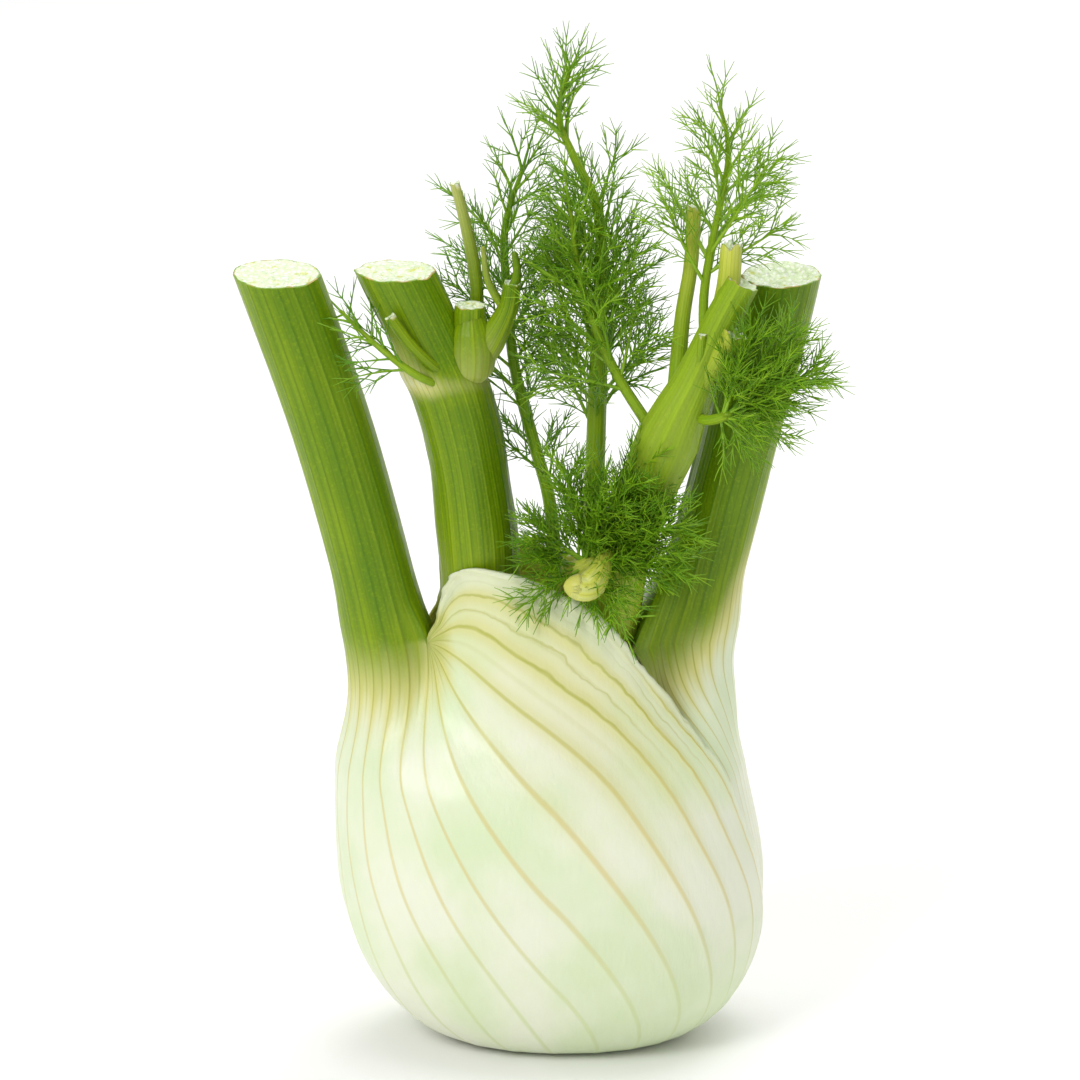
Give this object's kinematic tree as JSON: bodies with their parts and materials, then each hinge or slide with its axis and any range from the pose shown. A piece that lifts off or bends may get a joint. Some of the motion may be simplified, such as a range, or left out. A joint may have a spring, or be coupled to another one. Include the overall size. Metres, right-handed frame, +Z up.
{
  "type": "fennel bulb",
  "caption": "Fresh fennel bulb with clasping pale leaf bases, cut green stalks and young feathery fronds.",
  "frame": {"origin": "centre of the flat trimmed base", "axes": "+Z up through the bulb, -Y the wide front face, +X to the right of the front"},
  "size_m": [0.1283, 0.0656, 0.2341],
  "materials": {
    "sheath": "satin",
    "stalk": "satin",
    "frond": "matte"
  },
  "bodies": {
    "root": {"left_leaf": "sheath", "right_leaf": "sheath", "heart": "sheath", "middle_leaf": "stalk", "right_shoot": "stalk", "crown_frond": "frond", "dark_frond": "frond", "side_frond": "frond", "tall_frond": "frond", "sprig_frond": "frond", "bushy_frond": "frond", "low_frond": "frond"}
  },
  "joints": []
}
